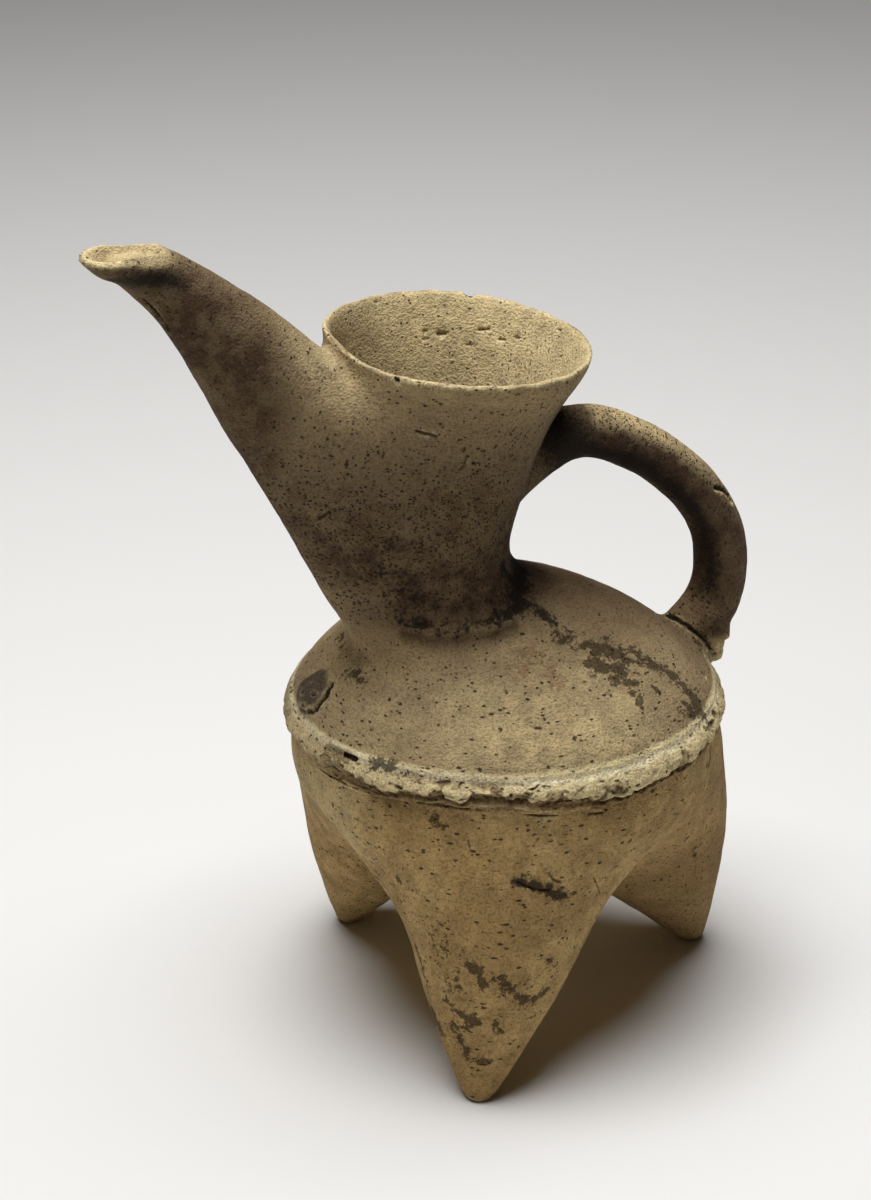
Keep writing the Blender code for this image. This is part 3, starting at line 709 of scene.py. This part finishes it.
# where each tone starts and where it is whole, in mm and degrees
zones = {
    "mouthHeight": (195, 205),
    "mouthFront": -66,  # the spout's bore lies beyond
    "handleLow": (24, -9.5, 116),  # the corners of the space that holds the handle
    "handleHigh": (95, 14.5, 207),
    "handleFade": (-1.0, 4.5),  # above the dome, or above the root's foot outside the body
    "domeTop": 156.0,
    "domeCurve": 0.0092,
    "spout": (-60, -84),
    "neckFootHeight": (168, 150),  # the soot is spread less far out at the neck's foot
    "neckFootReach": (28, 44),
    "spoonSide": (-104, -110),
    "spoonHeight": (274, 276),
    "rimHeight": (200, 230),
    "strip": (68.6, 69.6),
    # just below the band's torn edge, where painted shade lies
    "under": (-4.0, -1.5, -0.1, 0.5),  # from the torn edge
    "crestRadius": 70.4,
    "flankAzimuth": (120, 150, 200, 222),
    "flankHeight": (48, 66, 98, 106),
    "domeHeight": (111, 114, 154, 160),
    "domeMiddle": (56, 38),
    "legAzimuth": (280, 300),
    "neckPits": (146, 160, 180, 225),
    "rightPits": (160, 190, 215, 236),
    "lowerClay": (109, 99),
}

# how strong each tone is
tones = {
    "neckSootAndShade": {140: 0.0, 146: 0.3, 151: 0.8, 157: 0.9, 166: 0.85, 180: 0.79, 200: 0.72, 215: 0.56, 226: 0.38,
                 234: 0.28},  # by height
    "spoutSoot": 0.88,
    "handleSoot": 0.93,
    "sootMarks": 0.95,
    # the dome's brown by azimuth: painted shade behind the neck and under the spout, with patina and staining at the
    # right
    "domePatinaAndShade": {0: 0.9, 60: 0.9, 120: 0.6, 180: 0.45, 215: 0.3, 235: 0.05, 285: 0.0, 305: 0.45, 335: 0.8},
    # painted shade low on the legs to the right of the near leg
    "legShade": 0.5,
    "mouthPale": 0.5,
    "rimWearAndHighlight": 0.9,
    "spoonPale": 0.35,
    "flankPaintedLight": 0.4,
    "chipBrown": 0.85,
    "underEdgeShade": 0.75,
}


def paintPoint(data, name, values):
    layer = data.attributes.new(name, "FLOAT", "POINT")
    layer.data.foreach_set("value", np.clip(values, -2, 2).astype(np.float32))


def paintSootAndShade(data, places, normals, rest, parts):
    # soot from the fire on neck, spout and handle, and the marks of soot, with painted shade at the neck's foot and
    # painted highlights on the tops of spout and handle
    height = places[:, 2]
    # by height, thickest just above the neck's foot, where it is also painted shade in the crease with the shoulder
    neck = along(tones["neckSootAndShade"], height) * parts["outer"] * (1 - parts["mouth"]) * (1 - parts["handle"])
    reach = np.linalg.norm(places[:, :2] - potShape["neckAxis"], axis=1)
    neck *= 1 - smoothStep(*zones["neckFootHeight"], height) * smoothStep(*zones["neckFootReach"], reach)
    spout = smoothStep(*zones["spout"], places[:, 0]) * (height > 180)
    # less soot on the spout's upward faces: a painted highlight along its top
    spout *= tones["spoutSoot"] - 0.2 * smoothStep(0.3, 0.9, normals[:, 2])
    # no soot on the handle's upward faces: a painted highlight along its top
    handle = parts["handle"] * tones["handleSoot"] * (1 - smoothStep(0.15, 0.75, normals[:, 2]))
    spots = tones["sootMarks"] * smoothStep(0.1, 0.9, markField(rest, normals, ("sootAndShade",)))
    sootAndShade = np.maximum.reduce([neck, spout, handle, spots * (1 - 0.5 * parts["mouth"])])
    paintPoint(data, "sootAndShade", sootAndShade * (1 - parts["spoon"]))


def paintBand(data, places, bend, parts):
    # the band's pale face, its crest with a painted highlight, its brown chips with painted shade under the torn
    # edge, and the other places where the clay is paler, with painted light on the left flank and a painted highlight
    # on the spout's ridge
    radius, azimuth = polar(places)
    height = places[:, 2]
    crisp = crispness(azimuth)
    _, _, lower, upper = bandEdges(azimuth)
    level = height - lower
    strip = smoothStep(*zones["strip"], radius) * smoothStep(-0.35, 0.15, level) * (height < 116)
    smooth = along(band["face"], np.clip(level / (upper - lower), 0, 1))
    chipsAndUnderShade = tones["chipBrown"] * smoothStep(0.4, 1.1, smooth - radius) * strip
    chipsAndUnderShade *= smoothStep(0.2, -0.6, height - upper) * (0.3 + 0.7 * crisp)
    # painted shade just below the torn edge, where the strip overhangs
    under = smoothStep(*band["skin"], radius) * window(zones["under"], level) * crisp
    # a painted highlight along the band's crest, on its worn edge
    crest = smoothStep(2.1, 1.3, np.abs(radius - zones["crestRadius"])) * smoothStep(1.6, 0.9, np.abs(height - upper))
    # convex edges high up are paler: worn clay on the mouth's rim, and a painted highlight along the spout's ridge
    rim = smoothStep(0.12, 0.3, bend) * smoothStep(*zones["rimHeight"], height)
    # the flank at the left below the band is made paler: painted light where the light falls on that side
    flank = window(zones["flankAzimuth"], azimuth) * window(zones["flankHeight"], height) * (radius > 66)
    pale = [tones["mouthPale"] * parts["mouth"], tones["rimWearAndHighlight"] * rim, strip * (0.25 + 0.6 * crisp),
            tones["spoonPale"] * parts["spoon"], tones["flankPaintedLight"] * flank]
    paintPoint(data, "pale", np.maximum.reduce(pale))
    paintPoint(data, "crestHighlight", crest * (0.3 + 0.7 * crisp))
    paintPoint(data, "chipsAndUnderShade", np.maximum(chipsAndUnderShade, tones["underEdgeShade"] * under))


def paintPatinaAndShade(data, places, parts):
    # the brown patina and the painted shade on dome, mouth and legs, and how thickly the pits lie
    radius, azimuth = polar(places)
    side, _, height = places.T
    dome = window(zones["domeHeight"], height) * (radius < 72) * parts["outer"]
    # darker behind and beside the neck, painted shade where mouth and spout hang over the dome, and more so near the
    # neck under the mouth; at the right, patina and staining
    shade = byAzimuth(tones["domePatinaAndShade"], azimuth) + 0.35 * smoothStep(*zones["domeMiddle"], radius)
    patinaAndShade = dome * np.minimum(shade, 1)
    # painted shade inside the mouth, on its left wall and low down
    patinaAndShade += parts["mouth"] * (smoothStep(-14, -36, side) + 0.6 * smoothStep(224, 208, height))
    # painted shade low on the legs to the right of the near leg
    leg = smoothStep(*zones["legAzimuth"], azimuth) * smoothStep(70, 30, height) * (radius > 30)
    paintPoint(data, "patinaAndShade", np.minimum(patinaAndShade + tones["legShade"] * leg, 1))
    pitted = 0.15 + 0.8 * window(zones["neckPits"], height) * (1 - parts["handle"]) + 0.25 * parts["handle"]
    pitted += 0.5 * smoothStep(-22, 8, side) * window(zones["rightPits"], height)
    paintPoint(data, "pitted", pitted * (1 - 0.7 * parts["mouth"]) * (1 - parts["spoon"]))


def paintFields(data):
    # what the material reads at each point: stains, soot, worn crests, pitting
    rest = np.empty(len(data.vertices) * 3, np.float32)
    data.attributes["rest"].data.foreach_get("vector", rest)
    rest = rest.reshape(-1, 3).astype(float)
    data.attributes.remove(data.attributes["rest"])
    places = readPoints(data)
    normals = readNormals(data)
    radius, _ = polar(places)
    side, _, height = places.T
    bend = findCrests(data)
    outer = ~findInside(data)
    mouth = places[:, :2] - potShape["mouthAxis"]
    inward = -(mouth * normals[:, :2]).sum(axis=1) / np.maximum(np.linalg.norm(mouth, axis=1), 1)
    mouth = smoothStep(*zones["mouthHeight"], height) * smoothStep(0.05, 0.3, inward) * outer
    handle = np.all((places > zones["handleLow"]) & (places < zones["handleHigh"]), axis=1) * (radius > 30)
    ground = np.where(radius < 69, zones["domeTop"] - zones["domeCurve"] * radius ** 2, zones["handleLow"][2])
    spoon = smoothStep(*zones["spoonSide"], side) * smoothStep(*zones["spoonHeight"], height)
    parts = {
        "outer": outer,
        "mouth": mouth * (side > zones["mouthFront"]),
        "handle": handle * smoothStep(*zones["handleFade"], height - ground),
        "spoon": spoon * smoothStep(0.0, 0.5, normals[:, 2]),
    }
    paintSootAndShade(data, places, normals, rest, parts)
    paintBand(data, places, bend, parts)
    paintPatinaAndShade(data, places, parts)
    for name in ("soil", "stainAndShadow", "charAndShadow", "flake"):
        paintPoint(data, name, markField(rest, normals, (name,)))
    paintPoint(data, "black", markField(rest, normals, ("black", "crack")))
    pellet = smoothStep(8.6, 7.2, np.linalg.norm(places - potShape["pellet"], axis=1))
    paintPoint(data, "pellet", pellet * (bend > -0.35))
    paintPoint(data, "ochre", smoothStep(*zones["lowerClay"], height))
    paintPoint(data, "crest", bend)


def buildPot():
    item = startForm()
    modified(item, "SUBSURF", levels=2, render_levels=2)
    addFills(item)
    modified(item, "REMESH", mode="VOXEL", voxel_size=potShape["voxel"], use_smooth_shade=True)
    modified(item, "SMOOTH", factor=0.5, iterations=potShape["smoothing"])
    print("even mesh:", countTriangles(item.data), "triangles")
    inside = findInside(item.data)
    thin(item, inside, countTriangles(item.data) * (1 - (1 - potShape["innerShare"]) * inside.mean()))
    print("with a coarse inside:", countTriangles(item.data), "triangles")

    # finer faces where the band is crumbly and where the small marks lie
    smallMarks = ("black", "crack", "dent")
    places = readPoints(item.data)
    _, azimuth = polar(places)
    left, right = band["front"]
    fine = (places[:, 2] > band["fineAbove"]) & (azimuth > left) & (azimuth < right)
    refine(item, fine & (onBand(places, readNormals(item.data)) > 0.5))
    places = readPoints(item.data)
    small = markField(places, readNormals(item.data), smallMarks)
    refine(item, (small > 0.01) & (places[:, 2] < potShape["fineMarksBelow"]))
    print("with finer marks:", countTriangles(item.data), "triangles")

    data = item.data
    normals = readNormals(data)
    inside = findInside(data)
    worked = workBand(readPoints(data), normals)
    # the marks are painted where they were cut, so each point keeps its place from before the cutting
    rest = data.attributes.new("rest", "FLOAT_VECTOR", "POINT")
    rest.data.foreach_set("vector", worked.astype(np.float32).ravel())
    worked = workClay(worked, normals, inside)
    writePoints(data, worked)
    kept = (onBand(worked, readNormals(data)) > 0.5) & (worked[:, 2] > band["fineAbove"] + 0.5)
    kept |= markField(worked, normals, smallMarks) > 0.05
    thin(item, ~kept, potShape["triangles"])
    print("finished mesh:", countTriangles(item.data), "triangles")
    paintFields(item.data)
    item.data.shade_smooth()
    return item


pot = buildPot()


# fired clay

clayTones = {
    "buff": "#C5AE7F",
    "greyBuff": "#AC966E",
    "ochre": "#BB9D68",
    "darkOchre": "#A48655",
    "cream": "#DAC695",
    # the painted highlight on the band's crest
    "crestHighlight": "#F3E4B8",
    # brown patina, also the colour of the painted shade on dome, mouth and legs
    "patinaAndShade": "#6C5138",
    "soil": "#352917",
    "soilDust": "#655234",
    # soot, also the colour of the painted shade at the neck's foot
    "sootAndShade": "#463121",
    # char, also the colour of painted shadow at the handle's root and the neck's right foot
    "charAndShadow": "#17110D",
    "black": "#120E0A",
    # brown of the chips, also the colour of the painted shade under the band's torn edge
    "brown": "#64492B",
    "greyBrown": "#5E5041",
    "rust": "#8A6648",
    "pitDirt": "#2B2115",
}

clayFields = ("soil", "stainAndShadow", "charAndShadow", "black", "flake", "sootAndShade", "pale", "crestHighlight", "patinaAndShade", "chipsAndUnderShade", "pellet",
              "ochre", "pitted", "crest")

# noises by their size in mm, detail and roughness
clayNoises = {
    "cloud": (30, 3, 0.5),
    "mottle": (7, 5, 0.65),
    "ragged": (2.8, 5, 0.75),
    "grit": (0.8, 2, 0.6),
}

clayRings = (42.0, 1 / (0.8 * mm), 1 / (0.8 * mm))  # cells round the vessel, up it and out from it

# sums made from the fields, the noises and each other; a ramp takes a value, its low and high ends, and their results
claySums = (
    ("cloudSum", "MULTIPLY_ADD", "mottle", 0.5, "cloud"),
    ("greyShare", "RAMP", "cloudSum", 0.6, 0.95, 1.0, 0.0),
    ("lowShare", "MULTIPLY", "ochre", "greyShare"),
    # patina and painted shade, broken up by the mottle
    ("patinaShadeCloud", "RAMP", "mottle", 0.3, 0.62, 0.4, 0.8),
    ("patinaShadeShare", "MULTIPLY", "patinaAndShade", "patinaShadeCloud"),
    # paler clay, with painted light on the left flank and a painted highlight on the spout's ridge
    ("paleShare", "RAMP", "pale", 0.0, 1.0),
    # the crest's painted highlight, broken by the ragged noise
    ("highlightEdge", "RAMP", "ragged", 0.35, 0.5),
    ("highlightShare", "MULTIPLY", "crestHighlight", "highlightEdge"),
    # soot, with painted shade at the neck's foot and painted highlights on the tops of spout and handle
    ("sootMottle", "RAMP", "mottle", 0.32, 0.62, 0.8, 1.12),
    ("sootCloud", "RAMP", "cloud", 0.35, 0.65, 0.84, 1.08),
    ("sootTone", "MULTIPLY", "sootMottle", "sootCloud"),
    ("sootShadeWhole", "MULTIPLY", "sootAndShade", "sootTone"),
    ("sootShadeShare", "MINIMUM", "sootShadeWhole", 0.97),
    # worn edges show the paler clay
    ("crestWorn", "RAMP", "crest", 0.1, 0.5),
    ("crestClean", "RAMP", "sootAndShade", 0.2, 0.9, 0.7, 0.25),
    ("raisedShare", "MULTIPLY", "crestWorn", "crestClean"),
    # brown chips, and the painted shade under the torn edge
    ("brownEdge", "RAMP", "ragged", 0.3, 0.6, 0.6, 1.0),
    ("brownShare", "MULTIPLY", "chipsAndUnderShade", "brownEdge"),
    # ragged edges for the marks
    ("raggedPart", "SUBTRACT", "ragged", 0.5),
    ("mottlePart", "SUBTRACT", "mottle", 0.5),
    ("mottleEdge", "MULTIPLY", "mottlePart", 1.3),
    ("edge", "MULTIPLY_ADD", "raggedPart", 2.4, "mottleEdge"),
    ("flakeSum", "ADD", "flake", "edge"),
    ("flakeWhole", "RAMP", "flakeSum", 0.35, 0.7),
    ("flakeShare", "MULTIPLY", "flakeWhole", 0.6),
    ("gritPart", "SUBTRACT", "grit", 0.5),
    ("gritEdge", "MULTIPLY", "gritPart", 1.1),
    ("dusty", "MULTIPLY_ADD", "raggedPart", 0.5, "gritEdge"),
    # char, with painted shadow at the handle's root
    ("charShadowSum", "ADD", "charAndShadow", "dusty"),
    ("charShadowWhole", "RAMP", "charShadowSum", 0.03, 0.68),
    ("charShadowShare", "MULTIPLY", "charShadowWhole", 0.92),
    # stains, with painted shadow at the neck's foot
    ("stainShadowSum", "MULTIPLY_ADD", "edge", 0.9, "stainAndShadow"),
    ("stainShadowWhole", "RAMP", "stainShadowSum", 0.36, 0.8),
    ("stainShadowShare", "MULTIPLY", "stainShadowWhole", 0.88),
    # a stain of soil is nearly whole in its middle, and its fading edge breaks into flecks
    ("soilSum", "MULTIPLY_ADD", "edge", 1.3, "soil"),
    ("soilEdge", "RAMP", "soilSum", 0.36, 0.66),
    ("soilNear", "RAMP", "soil", 0.05, 0.25),
    ("soiled", "MULTIPLY", "soilEdge", "soilNear"),
    ("soilShare", "MULTIPLY", "soiled", 0.84),
    ("dustEdge", "RAMP", "grit", 0.45, 0.7, 0.0, 0.5),
    ("dustShare", "MULTIPLY", "soiled", "dustEdge"),
    # pits, where the draw says that a cell has one
    ("fineReach", "MULTIPLY", "fineSize", 0.7),
    ("fineDepth", "SUBTRACT", "fineReach", "fineAway"),
    ("fineRound", "RAMP", "fineDepth", 0.0, 0.12),
    ("fineChance", "MULTIPLY_ADD", "pitted", 0.6, 0.02),
    ("fineThere", "LESS_THAN", "fineDraw", "fineChance"),
    ("finePits", "MULTIPLY", "fineRound", "fineThere"),
    ("holeReach", "MULTIPLY", "holeSize", 0.22),
    ("holeDepth", "SUBTRACT", "holeReach", "holeAway"),
    ("holeRound", "RAMP", "holeDepth", 0.0, 0.06),
    ("holeThere", "LESS_THAN", "holeDraw", 0.25),
    ("holes", "MULTIPLY", "holeRound", "holeThere"),
    ("pits", "MAXIMUM", "finePits", "holes"),
    ("pitShare", "MULTIPLY", "pits", 0.85),
    ("blackSum", "MULTIPLY_ADD", "edge", 0.3, "black"),
    ("blackWhole", "RAMP", "blackSum", 0.48, 0.72),
    ("blackShare", "MULTIPLY", "blackWhole", 0.92),
    ("mottleShade", "RAMP", "mottle", 0.28, 0.72, 0.84, 1.14),
    ("gritShade", "RAMP", "grit", 0.3, 0.65, 0.7, 1.18),
    ("streakShade", "RAMP", "streaks", 0.58, 0.68, 1.02, 0.76),
    ("crestShade", "RAMP", "crest", -0.5, 0.0, 0.6, 1.0),
    ("cloudyShade", "MULTIPLY", "mottleShade", "gritShade"),
    ("wipedShade", "MULTIPLY", "cloudyShade", "streakShade"),
    ("shade", "MULTIPLY", "wipedShade", "crestShade"),
    # the fine relief
    ("gritHeight", "MULTIPLY", "grit", 0.42),
    ("cloudyHeight", "MULTIPLY_ADD", "mottle", 0.5, "gritHeight"),
    ("wipedHeight", "MULTIPLY_ADD", "streaks", -0.15, "cloudyHeight"),
    ("pittedHeight", "MULTIPLY_ADD", "pits", -0.35, "wipedHeight"),
    ("height", "MULTIPLY_ADD", "soiled", 0.06, "pittedHeight"),
)

# each tone is laid over the ones before it, as much as its share says
clayLayers = (
    ("greyShare", "greyBuff"),
    ("ochre", "ochre"),
    ("lowShare", "darkOchre"),
    ("patinaShadeShare", "patinaAndShade"),
    ("paleShare", "cream"),
    ("sootShadeShare", "sootAndShade"),
    ("pellet", "greyBrown"),
    ("raisedShare", "cream"),
    ("highlightShare", "crestHighlight"),
    ("brownShare", "brown"),
    ("flakeShare", "rust"),
    ("charShadowShare", "charAndShadow"),
    ("stainShadowShare", "charAndShadow"),
    ("soilShare", "soil"),
    ("dustShare", "soilDust"),
    ("pitShare", "pitDirt"),
    ("blackShare", "black"),
)


def firedBuffClay():
    # low-fired buff earthenware, hand built and wiped wet: dead matt, cloudy, gritty and full of small pits
    clay = bpy.data.materials.new("firedBuffClay")
    clay.use_nodes = True
    tree = clay.node_tree
    shader = tree.nodes["Principled BSDF"]
    found = {name: addNode(tree, "ShaderNodeAttribute", out=2, attribute_name=name) for name in clayFields}
    where = addNode(tree, "ShaderNodeTexCoord", out=3)
    for name, (size, detail, rough) in clayNoises.items():
        found[name] = addNode(tree, "ShaderNodeTexNoise",
                              {"Vector": where, "Scale": 1 / (size * mm), "Detail": detail, "Roughness": rough})
    warp = found["ragged"].node.outputs["Color"]

    # wiping marks and fine pits run round the vessel, so they are laid out by azimuth, height and reach
    side, depth, _ = (bodyAxis * mm).tolist()
    spot = addNode(tree, "ShaderNodeVectorMath", {0: where, 1: (1, -1, 1), 2: (-side, depth, 0)},
                   operation="MULTIPLY_ADD")
    parts = addNode(tree, "ShaderNodeSeparateXYZ", {0: spot}).node.outputs
    turn = addNode(tree, "ShaderNodeMath", {0: parts[0], 1: parts[1]}, operation="ARCTAN2")
    level = addNode(tree, "ShaderNodeVectorMath", {0: spot, 1: (1, 1, 0)}, operation="MULTIPLY")
    reach = addNode(tree, "ShaderNodeVectorMath", {0: level}, 1, operation="LENGTH")
    ringed = addNode(tree, "ShaderNodeCombineXYZ", {0: turn, 1: parts[2], 2: reach})
    ringed = addNode(tree, "ShaderNodeVectorMath", {0: ringed, 1: clayRings}, operation="MULTIPLY")
    found["streaks"] = addNode(tree, "ShaderNodeTexNoise",
                               {"Vector": ringed, "Scale": 0.6, "Detail": 3.0, "Roughness": 0.55})
    # pits where temper fell out: many fine ones and a few larger holes, each with its own size
    for name, start, bend, scale in (("fine", ringed, 1.1, 1.0), ("hole", where, 2.2 * mm, 1 / (3.4 * mm))):
        bent = addNode(tree, "ShaderNodeVectorMath", {0: warp, 1: (bend,) * 3, 2: start}, operation="MULTIPLY_ADD")
        found[name + "Away"] = addNode(tree, "ShaderNodeTexVoronoi", {"Vector": bent, "Scale": scale})
        draws = addNode(tree, "ShaderNodeSeparateColor", {0: found[name + "Away"].node.outputs["Color"]}).node.outputs
        found[name + "Draw"], found[name + "Size"] = draws[0], draws[1]

    for name, operation, *parts in claySums:
        inputs = {index: found.get(part, part) for index, part in enumerate(parts)}
        if operation == "RAMP":
            found[name] = addNode(tree, "ShaderNodeMapRange", inputs, interpolation_type="SMOOTHSTEP")
        else:
            found[name] = addNode(tree, "ShaderNodeMath", inputs, operation=operation)
    tone = linear(clayTones["buff"])
    for share, top in clayLayers:
        tone = addNode(tree, "ShaderNodeMix", {0: found[share], 6: tone, 7: linear(clayTones[top])}, 2,
                       data_type="RGBA")
    tone = addNode(tree, "ShaderNodeVectorMath", {0: tone, "Scale": found["shade"]}, operation="SCALE")
    tree.links.new(tone, shader.inputs["Base Color"])
    shader.inputs["Roughness"].default_value = 0.92
    shader.inputs["Specular IOR Level"].default_value = 0.25
    bump = addNode(tree, "ShaderNodeBump", {"Height": found["height"], "Distance": 1.6 * mm, "Strength": 1.0})
    tree.links.new(bump, shader.inputs["Normal"])
    return clay


pot.data.materials.clear()
pot.data.materials.append(firedBuffClay())
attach(pot, "root")
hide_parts("pitcher")
print("the pitcher is finished in fired buff clay")
